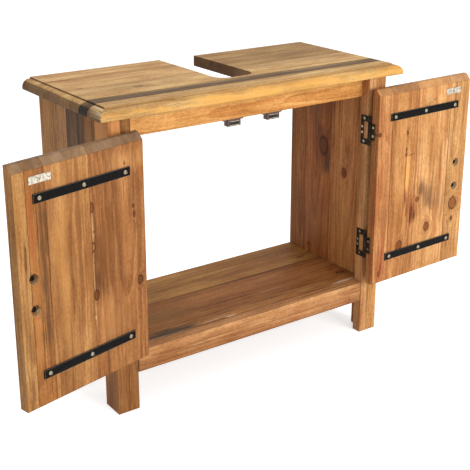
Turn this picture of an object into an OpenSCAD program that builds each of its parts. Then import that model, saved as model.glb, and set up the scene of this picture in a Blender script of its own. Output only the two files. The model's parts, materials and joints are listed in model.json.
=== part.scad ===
// Sink base cabinet of reclaimed pine, with two hinged doors shown open.
// Millimetres. +X right, +Y back, +Z up. The origin is on the floor, under the middle of the top.

/* [Cabinet] */
// Width over the moulded ends of the top
top_w = 700; // [690:5:820]
// Depth of the top, from the moulded front edge to the back
top_d = 320; // [310:5:400]
// Height from the floor to the face of the top
cabinet_h = 600; // [580:5:760]
// How far the top stands out past the legs at each end
overhang_side = 25; // [20:1:40]
// How far the top stands out past the legs at the front
overhang_front = 24; // [19:1:40]
// How far the top stands out past the legs at the back
overhang_back = 18; // [5:1:30]

/* [Top] */
// Thickness of the top boards
top_t = 22; // [20:1:30]
// Radius of the quarter round on the moulded edge
ovolo_r = 15; // [10:0.5:15]
// Step down from the flat of the top to the quarter round
quirk_h = 3; // [1:0.5:5]
// Flat ledge between the step and the quarter round
fillet_w = 2; // [1:0.5:4]
// Width of the front board, moulding included
front_board_w = 50; // [40:1:60]
// Width of the narrow board behind it
dark_strip_w = 32; // [20:1:36]
// Width of the board that the slot's end is cut into
middle_board_w = 85; // [80:1:110]
// Width of the slot for the basin's trap and pipes
slot_w = 86; // [70:1:140]
// Wood left between the narrow board and the slot's end
slot_web = 12; // [10:1:40]
// Radius of the slot's two inner corners
slot_corner_r = 25; // [10:1:30]

/* [Legs and sides] */
// Thickness of the posts and side boards
side_t = 25; // [20:1:32]
// Depth of each front post
front_post_d = 50; // [40:1:60]
// Depth of each rear post
rear_post_d = 52; // [40:1:60]
// Width of the batten on the inner side of each front post
batten_w = 20; // [16:1:28]
// Depth of that batten
batten_d = 22; // [20:1:30]
// Height of the lower end of the side boards
side_bottom_z = 76; // [60:1:90]
// Width of the left side's front board
left_front_side_w = 45; // [30:1:60]
// Width of the left side's middle board
left_middle_side_w = 67; // [50:1:80]
// Width of the right side's front board
right_front_side_w = 88; // [60:1:110]

/* [Apron and shelf] */
// Height of the apron under the top
apron_h = 47; // [40:1:60]
// Thickness of the apron
apron_t = 20; // [16:1:24]
// Height of the shelf's upper face
shelf_z = 121; // [110:1:150]
// Thickness of the shelf boards
shelf_t = 18; // [15:1:22]
// Height of the rail along the shelf's front
rail_h = 45; // [35:1:50]
// Set-back of the rail's face from the front of the legs
rail_setback = 1; // [0:0.5:5]
// Open joint left at the rail's left end
rail_end_gap = 1.5; // [0.5:0.5:3]
// Width of the shelf's front board
shelf_front_w = 34; // [25:1:60]
// Width of the shelf's middle board
shelf_middle_w = 111; // [80:1:130]
// Side of the square cleats under the top and the shelf
cleat = 22; // [18:1:28]
// Distance of the cleats' ends from the back of the legs
cleat_end = 5; // [2:1:15]

/* [Doors] */
// Thickness of the doors
door_t = 20; // [18:1:20]
// Gap between each door's hinge edge and its batten
door_side_gap = 2; // [2:0.1:3]
// Gap between the two closed doors
door_centre_gap = 4; // [4:0.5:6]
// Gap between the shelf and the doors' lower edge
door_foot_gap = 4; // [2:0.5:8]
// How far the closed doors lap the apron
door_lap = 22; // [10:1:24]
// Drop of the chamfer on the inner top edge of the doors
chamfer_h = 13; // [8:1:14]
// Depth of that chamfer into the door's thickness
chamfer_d = 11; // [6:1:13]
// Width of the left door's board at the free edge
left_free_board_w = 24; // [20:1:40]
// Width of the left door's second board
left_second_board_w = 38; // [30:1:50]
// Width of the left door's third board
left_third_board_w = 91; // [70:1:100]
// Width of the right door's board at the free edge
right_free_board_w = 59; // [50:1:70]
// Width of the right door's second board
right_second_board_w = 100; // [80:1:110]
// Width of the right door's board at the hinge edge
right_hinge_board_w = 41; // [36:1:43]
// Angle at which the left door is shown open
left_open = 167; // [100:1:188]
// Angle at which the right door is shown open
right_open = 182; // [100:1:188]

/* [Door straps] */
// Length of the iron straps
strap_l = 205; // [180:1:215]
// Width of the straps
strap_w = 16; // [14:1:20]
// Thickness of the straps
strap_t = 3; // [2:0.5:4]
// Distance from the door's hinge edge to the straps
strap_margin = 34; // [30:1:40]
// Distance from the door's top to the middle of the upper strap
strap_from_top = 61; // [55:1:80]
// Distance from the door's foot to the middle of the lower strap
strap_from_foot = 57; // [40:1:80]
// Distance from a strap's ends to its outer screws
strap_screw_inset = 11.5; // [9:0.5:20]

/* [Door handles] */
// Distance between the handle's two bolts
handle_bolt_spacing = 55; // [50:1:96]
// Distance from the door's free edge to the bolts
handle_from_edge = 30; // [27:1:40]
// How far the handle's middle lies below the door's middle
handle_drop = 9; // [0:1:40]
// Distance from the door's face to the middle of the grip
handle_reach = 26; // [22:1:34]
// Radius of the grip and its feet
handle_r = 4.5; // [4:0.5:5.5]
// Radius of the round rose under each foot
rose_r = 8; // [7:0.5:10]
// Thickness of the roses
rose_t = 3; // [2:0.5:4]
// Radius of the counterbores for the bolt heads
counterbore_r = 9.5; // [8:0.5:11]
// Depth of those counterbores
counterbore_d = 8; // [6:0.5:10]
// Diameter of the handle bolts
bolt_d = 5; // [4:0.5:6]
// Diameter of their heads
bolt_head_d = 10; // [8:0.5:12]
// Height of their heads
bolt_head_h = 3.5; // [2.5:0.5:5]
// How far the bolts go into the handle
bolt_bite = 10; // [8:1:14]

/* [Hinges] */
// Height of the leaf on the cabinet, and of the barrel
hinge_l = 62; // [56:1:70]
// Height of the leaf on the door
door_leaf_l = 36; // [32:1:38]
// Thickness of the leaves
leaf_t = 1.5; // [1.2:0.1:1.8]
// Depth of the cabinet's leaf, from the hinge axis
frame_leaf_d = 26; // [25:0.5:27]
// Depth of the door's leaf, from the hinge axis
door_leaf_d = 16; // [15:0.5:16.5]
// Distance from the front of the legs to the hinge axis
axis_proud = 6; // [5:0.5:7]
// Radius of the barrel
barrel_r = 3; // [2.5:0.1:3.5]
// Radius of the hinge pin
pin_r = 1.25; // [1:0.05:1.5]
// Distance of the outer leaf's two inner screws from its middle
spine_screw_z = 6; // [5:0.5:9]
// Distance of the inner leaf's two screws from its middle
leaf_screw_z = 9; // [6:0.5:12]
// Height of the peened button on each end of the pin
button_h = 0.8; // [0.5:0.1:1.2]
// Distance from the door's top to the middle of the upper hinge
hinge_from_top = 90; // [60:1:110]
// Distance from the door's foot to the middle of the lower hinge
hinge_from_foot = 87; // [60:1:120]

/* [Catches] */
// Place of the left catch, left of the middle
left_catch_x = 43; // [38:1:100]
// Place of the right catch, right of the middle
right_catch_x = 50; // [38:1:100]
// Width of the catch housing, without its ears
catch_w = 30; // [28:1:40]
// Height of the catch housing
catch_h = 14; // [13:0.5:18]
// Depth of the catch housing
catch_d = 13; // [12:0.5:16]
// Length of each screw ear
ear_l = 8; // [7:0.5:10]
// Depth of the ears
ear_d = 8; // [7:0.5:11]
// Thickness of the ears
ear_t = 3; // [2:0.5:4]
// Width of the magnet
magnet_w = 22; // [16:1:24]
// Depth of the pocket that the magnet sits in
pocket_d = 9.5; // [8:0.5:10.5]
// Height of the magnet
magnet_h = 6; // [4:0.5:8]
// Thickness of the pole plates
pole_t = 1.2; // [0.8:0.1:2]
// Height of the magnet's middle above the housing's lower face
magnet_z = 6; // [5.5:0.5:7]
// Place of each door's strike plate, measured from the middle
strike_x = 55; // [40:1:100]
// Width of the strike plate on the door
strike_w = 44; // [36:1:50]
// Height of the strike plate
strike_h = 13; // [10:0.5:16]
// Thickness of the strike plate
strike_t = 1.2; // [0.8:0.1:1.6]

/* [Screws] */
// Diameter of the small countersunk screws
small_d = 2.8; // [2.4:0.1:3]
// Diameter of their heads
small_head_d = 5.8; // [5:0.1:6]
// Length of the small screws
small_l = 12; // [8:1:14]
// Diameter of the round-headed strap screws
strap_screw_d = 4; // [3:0.5:4.5]
// Diameter of their heads
strap_head_d = 8; // [6:0.5:9]
// Height of their heads
strap_head_h = 2.2; // [1.5:0.1:3]
// Diameter of the flat on top of their heads
strap_crown_d = 5.6; // [4:0.1:7]
// How far the strap screws go into the door
strap_screw_bite = 14; // [10:1:16]
// Diameter of the cleats' countersunk screws
cleat_screw_d = 4; // [3:0.5:5]
// Diameter of their heads
cleat_head_d = 8; // [7:0.5:10]
// How far the cleats' screws go into the board behind
cleat_screw_bite = 13; // [10:1:15]

/* [Clearances] */
// Space round a screw in its hole
screw_clear = 0.1; // [0.05:0.05:0.3]
// Space round the handle bolts in the door
bolt_clear = 0.5; // [0.2:0.1:1]
// Running fit of the pin in the barrel
pin_clear = 0.05; // [0.03:0.01:0.1]
// Gap between the knuckles of a hinge
knuckle_gap = 0.3; // [0.2:0.05:0.6]
// Gap between the inner leaf's end and the outer leaf's spine
leaf_end_gap = 1.5; // [1:0.1:2]
// Gap between the pole plates and the strike plate
catch_gap = 0.3; // [0.2:0.05:1]
// Space round the magnet and pole plates in the housing
pocket_clear = 0.1; // [0.05:0.05:0.3]

/* [Hidden] */
$fn = 48;
// How far a cutting shape runs past the face that it cuts
past = 0.5;

LEFT = -1;
RIGHT = 1;

// Levels
under_top_z = cabinet_h - top_t;
apron_z = under_top_z - apron_h;
door_foot_z = shelf_z + door_foot_gap;
door_top_z = apron_z + door_lap;
door_middle_z = (door_foot_z + door_top_z) / 2;
rail_z = shelf_z - rail_h;
hinge_zs = [hinge_from_foot + door_foot_z, door_top_z - hinge_from_top];
strap_zs = [strap_from_foot + door_foot_z, door_top_z - strap_from_top];
handle_z = door_middle_z - handle_drop;
catch_z = apron_z - catch_h;
pole_z = catch_z + magnet_z;

// Places front to back
front_y = -top_d / 2;
back_y = top_d / 2;
leg_front_y = front_y + overhang_front;
leg_back_y = back_y - overhang_back;
batten_back_y = leg_front_y + batten_d;
front_post_back_y = leg_front_y + front_post_d;
rear_post_front_y = leg_back_y - rear_post_d;
apron_back_y = batten_back_y + apron_t;
door_inner_y = leg_front_y + door_t;
strip_y = front_y + front_board_w;
middle_y = strip_y + dark_strip_w;
rear_boards_y = middle_y + middle_board_w;
slot_front_y = middle_y + slot_web;
cleat_back_y = leg_back_y - cleat_end;
axis_y = leg_front_y - axis_proud;
pole_front_y = door_inner_y + strike_t + catch_gap;
housing_front_y = batten_back_y + catch_gap;
ear_y = housing_front_y + catch_d / 2;
pole_back_y = housing_front_y + pocket_d - pocket_clear;

// Places across, measured from the middle on either side
half_w = top_w / 2;
leg_x = half_w - overhang_side;
wall_x = leg_x - side_t;
opening_x = wall_x - batten_w;
door_hinge_x = opening_x - door_side_gap;
door_free_x = door_centre_gap / 2;
door_w = door_hinge_x - door_free_x;
axis_x = opening_x - door_side_gap / 2;
handle_x = door_free_x + handle_from_edge;
cleat_x = wall_x - cleat;

// Mouldings, screws and hinges
moulding_w = ovolo_r + fillet_w;
lip_h = top_t - ovolo_r - quirk_h;
arm_screw_z = (hinge_l / 2 + door_leaf_l / 2) / 2;
spine_front_y = axis_y + door_leaf_d + leaf_end_gap;
spine_screw_y = (spine_front_y + axis_y + frame_leaf_d) / 2;
leaf_screw_y = leg_front_y + (door_leaf_d - axis_proud) / 2;
arm_screw_y = leg_front_y + (frame_leaf_d - axis_proud) / 2;
cleat_screw_shares = [0.15, 0.5, 0.85];

// Wood and metal colours
HONEY = [0.80, 0.55, 0.28];
GOLDEN = [0.70, 0.50, 0.30];
TAN = [0.62, 0.44, 0.27];
GREY_BROWN = [0.36, 0.28, 0.22];
DARK_BROWN = [0.30, 0.19, 0.12];
BROWN = [0.48, 0.32, 0.19];
ORANGE = [0.76, 0.48, 0.24];
BLACK_IRON = [0.08, 0.08, 0.09];
ZINC = [0.75, 0.74, 0.70];

// Angle at which a side's door is shown open
function open_angle(side) = side == LEFT ? left_open : right_open;

// Place of a side's catch, measured from the middle
function catch_x(side) = side == LEFT ? left_catch_x : right_catch_x;

// Joints between a door's boards, measured from its free edge
function door_joints(side) = side == LEFT
    ? [0, left_free_board_w, left_free_board_w + left_second_board_w,
       left_free_board_w + left_second_board_w + left_third_board_w, door_w]
    : [0, right_free_board_w, right_free_board_w + right_second_board_w,
       door_w - right_hinge_board_w, door_w];

// Place of the nth of three screws along a cleat that starts at y0
function cleat_screw_y(y0, n) = y0 + cleat_screw_shares[n] * (cleat_back_y - y0);

// A box given by its two corners
module slab(low, high) {
    translate(low) cube(high - low);
}

// Draws a piece modelled on the right on the side asked for
module on_side(side) {
    if (side == LEFT) {
        mirror([1, 0, 0]) children();
    } else {
        children();
    }
}

// Draws pieces of a closed right-hand door, swung open on the side asked for
module swung(side) {
    on_side(side) translate([axis_x, axis_y, 0]) rotate([0, 0, open_angle(side)])
        translate([-axis_x, -axis_y, 0]) children();
}

// A countersunk screw: head level with z = 0, point down
module flat_screw(d, head_d, length, clear = 0) {
    head_h = (head_d - d) / 2;
    translate([0, 0, -length - clear]) cylinder(d = d + 2 * clear, h = length + clear);
    translate([0, 0, -head_h]) cylinder(d1 = d + 2 * clear, d2 = head_d + 2 * clear, h = head_h);
    if (clear > 0) {
        cylinder(d = head_d + 2 * clear, h = past);
    }
}

// A round-headed screw: the head stands on z = 0, point down
module round_screw(d, head_d, crown_d, head_h, length) {
    translate([0, 0, -length]) cylinder(d = d, h = length);
    cylinder(d = head_d, h = head_h / 2);
    translate([0, 0, head_h / 2]) cylinder(d1 = head_d, d2 = crown_d, h = head_h / 2);
}

module small_screw(clear = 0) {
    flat_screw(small_d, small_head_d, small_l, clear);
}

// Section across the top, with both ends moulded
module end_section() {
    flat = half_w - moulding_w;
    intersection() {
        translate([-half_w, 0]) square([2 * half_w, top_t]);
        union() {
            translate([-flat, 0]) square([2 * flat, top_t]);
            translate([-flat - fillet_w, 0]) square([2 * (flat + fillet_w), top_t - quirk_h]);
            translate([-half_w, 0]) square([2 * half_w, lip_h]);
            for (side = [LEFT, RIGHT]) {
                translate([side * (half_w - ovolo_r), lip_h]) circle(ovolo_r);
            }
        }
    }
}

// Section of the top front to back, with only the front moulded
module front_section() {
    intersection() {
        translate([front_y, 0]) square([top_d, top_t]);
        union() {
            translate([front_y + moulding_w, 0]) square([top_d - moulding_w, top_t]);
            translate([front_y + ovolo_r, 0]) square([top_d - ovolo_r, top_t - quirk_h]);
            translate([front_y, 0]) square([top_d, lip_h]);
            translate([front_y + ovolo_r, lip_h]) circle(ovolo_r);
        }
    }
}

// The slot, open at the back, with rounded inner corners
module slot_cut() {
    straight_y = slot_front_y + slot_corner_r;
    corner_x = slot_w / 2 - slot_corner_r;
    translate([0, 0, under_top_z - past]) linear_extrude(top_t + 2 * past) {
        translate([-slot_w / 2, straight_y]) square([slot_w, back_y - straight_y + past]);
        translate([-corner_x, slot_front_y]) square([2 * corner_x, slot_corner_r + past]);
        for (side = [LEFT, RIGHT]) {
            translate([side * corner_x, straight_y]) circle(slot_corner_r);
        }
    }
}

// The screws up through the top cleats, on both sides
module top_cleat_screws(clear = 0) {
    for (side = [LEFT, RIGHT], n = [0:2]) {
        on_side(side) translate([wall_x - cleat / 2, cleat_screw_y(apron_back_y, n), under_top_z - cleat])
            rotate([180, 0, 0]) flat_screw(cleat_screw_d, cleat_head_d, cleat + cleat_screw_bite, clear);
    }
}

// The screws out through the shelf cleats into the sides
module shelf_cleat_screws(clear = 0) {
    for (side = [LEFT, RIGHT], n = [0:2]) {
        on_side(side) translate([cleat_x, cleat_screw_y(batten_back_y, n), shelf_z - shelf_t - cleat / 2])
            rotate([0, -90, 0]) flat_screw(cleat_screw_d, cleat_head_d, cleat + cleat_screw_bite, clear);
    }
}

// One board of the top, cut out of the moulded panel between two corners
module top_board(tint, low, high) {
    color(tint) difference() {
        intersection() {
            translate([0, 0, under_top_z]) rotate([90, 0, 0])
                linear_extrude(top_d, center = true) end_section();
            translate([0, 0, under_top_z]) rotate([90, 0, 90])
                linear_extrude(top_w, center = true) front_section();
            slab([low[0], low[1], under_top_z], [high[0], high[1], cabinet_h]);
        }
        slot_cut();
        top_cleat_screws(screw_clear);
    }
}

module top_rear_board(side) {
    on_side(side) top_board(TAN, [slot_w / 2, rear_boards_y], [half_w, back_y]);
}

// Front corner of the cabinet: the outer post
module front_post(side) {
    color(side == LEFT ? DARK_BROWN : ORANGE) difference() {
        on_side(side) slab([wall_x, leg_front_y, 0], [leg_x, front_post_back_y, under_top_z]);
        shelf_cleat_screws(screw_clear);
    }
}

// The batten that the door is hung on
module front_batten(side) {
    color(side == LEFT ? BROWN : ORANGE) difference() {
        on_side(side) slab([opening_x, leg_front_y, 0], [wall_x, batten_back_y, under_top_z]);
        on_side(side) frame_leaf_screws(screw_clear);
    }
}

module rear_post(side) {
    color(BROWN) difference() {
        on_side(side) slab([wall_x, rear_post_front_y, 0], [leg_x, leg_back_y, under_top_z]);
        shelf_cleat_screws(screw_clear);
    }
}

// A vertical board of a side wall, between two places front to back
module side_board(side, tint, y0, y1) {
    color(tint) difference() {
        on_side(side) slab([wall_x, y0, side_bottom_z], [leg_x, y1, under_top_z]);
        shelf_cleat_screws(screw_clear);
    }
}

module apron() {
    color(ORANGE) difference() {
        slab([-wall_x, batten_back_y, apron_z], [wall_x, apron_back_y, under_top_z]);
        catch_screws(screw_clear);
    }
}

module shelf_front_rail() {
    color(ORANGE) slab([-opening_x + rail_end_gap, leg_front_y + rail_setback, rail_z],
                       [opening_x, batten_back_y, shelf_z]);
}

// A board of the shelf, between two distances behind the rail
module shelf_board(tint, from, to) {
    color(tint) slab([-wall_x, batten_back_y + from, shelf_z - shelf_t],
                     [wall_x, batten_back_y + to, shelf_z]);
}

module top_cleat(side) {
    color(BROWN) difference() {
        on_side(side) slab([cleat_x, apron_back_y, under_top_z - cleat], [wall_x, cleat_back_y, under_top_z]);
        top_cleat_screws(screw_clear);
    }
}

module shelf_cleat(side) {
    color(BROWN) difference() {
        on_side(side) slab([cleat_x, batten_back_y, shelf_z - shelf_t - cleat],
                           [wall_x, cleat_back_y, shelf_z - shelf_t]);
        shelf_cleat_screws(screw_clear);
    }
}

module cleat_screws() {
    color(ZINC) {
        top_cleat_screws();
        shelf_cleat_screws();
    }
}

// The pin's bore through a barrel of the right-hand hinges
module pin_bore(z) {
    translate([axis_x, axis_y, z - hinge_l / 2 - past])
        cylinder(r = pin_r + pin_clear, h = hinge_l + 2 * past);
}

// The four screws of each leaf on the right-hand batten
module frame_leaf_screws(clear = 0) {
    face_x = opening_x - leaf_t;
    for (z = hinge_zs, end = [-1, 1]) {
        translate([face_x, arm_screw_y, z + end * arm_screw_z]) rotate([0, -90, 0]) small_screw(clear);
        translate([face_x, spine_screw_y, z + end * spine_screw_z]) rotate([0, -90, 0]) small_screw(clear);
    }
}

// The hinge's outer leaf: a C of sheet with a knuckle at each end of the barrel
module frame_leaf(side, z) {
    cut_half = door_leaf_l / 2 + knuckle_gap;
    color(BLACK_IRON) on_side(side) difference() {
        union() {
            slab([opening_x - leaf_t, axis_y + (barrel_r + pin_r) / 2, z - hinge_l / 2],
                 [opening_x, axis_y + frame_leaf_d, z + hinge_l / 2]);
            for (low = [-hinge_l / 2, cut_half]) {
                translate([axis_x, axis_y, z + low]) cylinder(r = barrel_r, h = hinge_l / 2 - cut_half);
            }
        }
        slab([axis_x - barrel_r, axis_y - barrel_r, z - cut_half],
             [opening_x + past, spine_front_y, z + cut_half]);
        pin_bore(z);
        frame_leaf_screws(screw_clear);
    }
}

// The pins, with a peened button at each end
module hinge_pins() {
    button_r = (pin_r + barrel_r) / 2;
    color(BLACK_IRON) for (side = [LEFT, RIGHT], z = hinge_zs) {
        on_side(side) translate([axis_x, axis_y, z]) {
            cylinder(r = pin_r, h = hinge_l, center = true);
            for (end = [-1, 1]) {
                translate([0, 0, end * (hinge_l + button_h) / 2])
                    cylinder(r = button_r, h = button_h, center = true);
            }
        }
    }
}

// The two screws up through each catch's ears
module catch_screws(clear = 0) {
    for (side = [LEFT, RIGHT], end = [-1, 1]) {
        on_side(side) translate([catch_x(side) + end * (catch_w + ear_l) / 2, ear_y, apron_z - ear_t])
            rotate([180, 0, 0]) small_screw(clear);
    }
}

// Fasteners of the leaves on the battens and of the catches
module hinge_and_catch_screws() {
    color(BLACK_IRON) for (side = [LEFT, RIGHT]) {
        on_side(side) frame_leaf_screws();
    }
    color(BLACK_IRON) catch_screws();
}

// Moulded housing of a magnetic catch, with a pocket for the magnet at the front
module catch_housing(side) {
    x = catch_x(side);
    half = catch_w / 2;
    pocket_half_w = magnet_w / 2 + pocket_clear;
    pocket_half_h = magnet_h / 2 + pole_t + pocket_clear;
    color([0.35, 0.20, 0.11]) difference() {
        on_side(side) union() {
            slab([x - half, housing_front_y, catch_z], [x + half, housing_front_y + catch_d, apron_z]);
            slab([x - half - ear_l, ear_y - ear_d / 2, apron_z - ear_t],
                 [x + half + ear_l, ear_y + ear_d / 2, apron_z]);
        }
        on_side(side) slab([x - pocket_half_w, housing_front_y - past, pole_z - pocket_half_h],
                           [x + pocket_half_w, pole_back_y + pocket_clear, pole_z + pocket_half_h]);
        catch_screws(screw_clear);
    }
}

module catch_magnets() {
    color([0.25, 0.25, 0.27]) for (side = [LEFT, RIGHT]) {
        x = catch_x(side);
        on_side(side) slab([x - magnet_w / 2, housing_front_y, pole_z - magnet_h / 2],
                           [x + magnet_w / 2, pole_back_y, pole_z + magnet_h / 2]);
    }
}

// Steel plates above and below each magnet, which stand proud to meet the strike plate
module catch_pole_plates() {
    color(ZINC) for (side = [LEFT, RIGHT], z = [pole_z - magnet_h / 2 - pole_t, pole_z + magnet_h / 2]) {
        x = catch_x(side);
        on_side(side) slab([x - magnet_w / 2, pole_front_y, z], [x + magnet_w / 2, pole_back_y, z + pole_t]);
    }
}

// Places the strap screws of a closed right-hand door
module at_strap_screws() {
    ends = [door_hinge_x - strap_margin - strap_l, door_hinge_x - strap_margin];
    xs = [ends[0] + strap_screw_inset, (ends[0] + ends[1]) / 2, ends[1] - strap_screw_inset];
    for (x = xs, z = strap_zs) {
        translate([x, door_inner_y + strap_t, z]) rotate([-90, 0, 0]) children();
    }
}

// The shank holes of the strap screws
module strap_screw_holes() {
    at_strap_screws() translate([0, 0, -strap_t - strap_screw_bite - screw_clear])
        cylinder(d = strap_screw_d + 2 * screw_clear, h = strap_t + strap_screw_bite + screw_clear + past);
}

// Places what goes on each of a handle's two bolts
module at_handle_bolts() {
    for (end = [-1, 1]) {
        translate([handle_x, leg_front_y, handle_z + end * handle_bolt_spacing / 2]) children();
    }
}

// The screws of the two leaves on a door's hinge edge and of its strike plate
module door_small_screws(clear = 0) {
    for (z = hinge_zs, end = [-1, 1]) {
        translate([door_hinge_x + leaf_t, leaf_screw_y, z + end * leaf_screw_z]) rotate([0, 90, 0])
            small_screw(clear);
    }
    translate([strike_x, door_inner_y + strike_t, pole_z]) rotate([-90, 0, 0]) small_screw(clear);
}

// Holes that the fittings need in a closed right-hand door
module door_holes() {
    strap_screw_holes();
    door_small_screws(screw_clear);
    at_handle_bolts() rotate([-90, 0, 0]) {
        translate([0, 0, -past]) cylinder(d = bolt_d + 2 * bolt_clear, h = door_t + 2 * past);
        translate([0, 0, door_t - counterbore_d]) cylinder(r = counterbore_r, h = counterbore_d + past);
    }
}

// Wedge taken off the inner top edge of the doors
module door_chamfer() {
    rotate([90, 0, 90]) linear_extrude(door_hinge_x + past) polygon([
        [door_inner_y - chamfer_d, door_top_z],
        [door_inner_y, door_top_z - chamfer_h],
        [door_inner_y + past, door_top_z - chamfer_h],
        [door_inner_y + past, door_top_z + past],
        [door_inner_y - chamfer_d, door_top_z + past]
    ]);
}

// The nth vertical board of a door, counted from the free edge
module door_board(side, n, tint) {
    joints = door_joints(side);
    color(tint) swung(side) difference() {
        slab([door_free_x + joints[n], leg_front_y, door_foot_z],
             [door_free_x + joints[n + 1], door_inner_y, door_top_z]);
        door_chamfer();
        door_holes();
    }
}

module door_strap(side, z) {
    end_x = door_hinge_x - strap_margin;
    color(BLACK_IRON) swung(side) difference() {
        slab([end_x - strap_l, door_inner_y, z - strap_w / 2],
             [end_x, door_inner_y + strap_t, z + strap_w / 2]);
        strap_screw_holes();
    }
}

module door_strap_screws(side) {
    color(ZINC) swung(side) at_strap_screws()
        round_screw(strap_screw_d, strap_head_d, strap_crown_d, strap_head_h,
                    strap_t + strap_screw_bite);
}

// Cast pull: a round grip on two feet, each with a rose and a blind hole for its bolt
module door_handle(side) {
    color(BLACK_IRON) swung(side) difference() {
        union() {
            at_handle_bolts() rotate([90, 0, 0]) {
                cylinder(r = rose_r, h = rose_t);
                cylinder(r = handle_r, h = handle_reach);
                translate([0, 0, handle_reach]) sphere(r = handle_r);
            }
            translate([handle_x, leg_front_y - handle_reach, handle_z])
                cylinder(r = handle_r, h = handle_bolt_spacing, center = true);
        }
        at_handle_bolts() rotate([90, 0, 0]) translate([0, 0, -past])
            cylinder(d = bolt_d + 2 * screw_clear, h = bolt_bite + 2 * past);
    }
}

// Bolts from the bottom of the counterbores, through the door and into the handle
module door_handle_bolts(side) {
    grip = door_t - counterbore_d;
    color(BLACK_IRON) swung(side) at_handle_bolts() rotate([-90, 0, 0]) translate([0, 0, grip]) {
        translate([0, 0, -grip - bolt_bite]) cylinder(d = bolt_d, h = grip + bolt_bite);
        cylinder(d = bolt_head_d, h = bolt_head_h);
    }
}

module door_strike_plate(side) {
    color(ZINC) swung(side) difference() {
        slab([strike_x - strike_w / 2, door_inner_y, pole_z - strike_h / 2],
             [strike_x + strike_w / 2, door_inner_y + strike_t, pole_z + strike_h / 2]);
        door_small_screws(screw_clear);
    }
}

// The hinge's inner leaf: it folds into the cut-out of the leaf on the batten
module door_hinge_leaves(side) {
    color(BLACK_IRON) swung(side) for (z = hinge_zs) {
        difference() {
            union() {
                slab([door_hinge_x, axis_y + (barrel_r + pin_r) / 2, z - door_leaf_l / 2],
                     [door_hinge_x + leaf_t, axis_y + door_leaf_d, z + door_leaf_l / 2]);
                translate([axis_x, axis_y, z]) cylinder(r = barrel_r, h = door_leaf_l, center = true);
            }
            pin_bore(z);
            door_small_screws(screw_clear);
        }
    }
}

top_board(HONEY, [-half_w, front_y], [half_w, strip_y]);  // top_front_board
top_board(GREY_BROWN, [-half_w, strip_y], [half_w, middle_y]);  // top_dark_strip
top_board(TAN, [-half_w, middle_y], [half_w, rear_boards_y]);  // top_middle_board
top_rear_board(LEFT);  // top_rear_left_board
top_rear_board(RIGHT);  // top_rear_right_board
front_post(LEFT);  // front_left_post
front_post(RIGHT);  // front_right_post
rear_post(LEFT);  // rear_left_post
rear_post(RIGHT);  // rear_right_post
front_batten(LEFT);  // front_left_batten
front_batten(RIGHT);  // front_right_batten
side_board(LEFT, BROWN, front_post_back_y, front_post_back_y + left_front_side_w);  // left_side_front_board
side_board(LEFT, DARK_BROWN, front_post_back_y + left_front_side_w,  // left_side_middle_board
               front_post_back_y + left_front_side_w + left_middle_side_w);
side_board(LEFT, TAN, front_post_back_y + left_front_side_w + left_middle_side_w, rear_post_front_y);  // left_side_rear_board
side_board(RIGHT, TAN, front_post_back_y, front_post_back_y + right_front_side_w);  // right_side_front_board
side_board(RIGHT, BROWN, front_post_back_y + right_front_side_w, rear_post_front_y);  // right_side_rear_board
apron();
shelf_front_rail();
shelf_board(GREY_BROWN, 0, shelf_front_w);  // shelf_front_board
shelf_board(TAN, shelf_front_w, shelf_front_w + shelf_middle_w);  // shelf_middle_board
shelf_board(BROWN, shelf_front_w + shelf_middle_w, leg_back_y - batten_back_y);  // shelf_rear_board
top_cleat(LEFT);  // top_left_cleat
top_cleat(RIGHT);  // top_right_cleat
shelf_cleat(LEFT);  // shelf_left_cleat
shelf_cleat(RIGHT);  // shelf_right_cleat
cleat_screws();
frame_leaf(LEFT, hinge_zs[1]);  // upper_left_frame_leaf
frame_leaf(LEFT, hinge_zs[0]);  // lower_left_frame_leaf
frame_leaf(RIGHT, hinge_zs[1]);  // upper_right_frame_leaf
frame_leaf(RIGHT, hinge_zs[0]);  // lower_right_frame_leaf
hinge_pins();
hinge_and_catch_screws();
catch_housing(LEFT);  // left_catch_housing
catch_housing(RIGHT);  // right_catch_housing
catch_magnets();
catch_pole_plates();
door_board(LEFT, 0, HONEY);  // left_door_free_board
door_board(LEFT, 1, BROWN);  // left_door_second_board
door_board(LEFT, 2, ORANGE);  // left_door_third_board
door_board(LEFT, 3, TAN);  // left_door_hinge_board
door_strap(LEFT, strap_zs[1]);  // left_door_upper_strap
door_strap(LEFT, strap_zs[0]);  // left_door_lower_strap
door_strap_screws(LEFT);  // left_door_strap_screws
door_handle(LEFT);  // left_door_handle
door_handle_bolts(LEFT);  // left_door_handle_bolts
door_strike_plate(LEFT);  // left_door_strike_plate
door_hinge_leaves(LEFT);  // left_door_hinge_leaves
color(BLACK_IRON) swung(LEFT) door_small_screws();  // left_door_small_screws
door_board(RIGHT, 0, HONEY);  // right_door_free_board
door_board(RIGHT, 1, ORANGE);  // right_door_second_board
door_board(RIGHT, 2, HONEY);  // right_door_third_board
door_board(RIGHT, 3, ORANGE);  // right_door_hinge_board
door_strap(RIGHT, strap_zs[1]);  // right_door_upper_strap
door_strap(RIGHT, strap_zs[0]);  // right_door_lower_strap
door_strap_screws(RIGHT);  // right_door_strap_screws
door_handle(RIGHT);  // right_door_handle
door_handle_bolts(RIGHT);  // right_door_handle_bolts
door_strike_plate(RIGHT);  // right_door_strike_plate
door_hinge_leaves(RIGHT);  // right_door_hinge_leaves
color(BLACK_IRON) swung(RIGHT) door_small_screws();  // right_door_small_screws
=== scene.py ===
import math
import random

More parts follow.
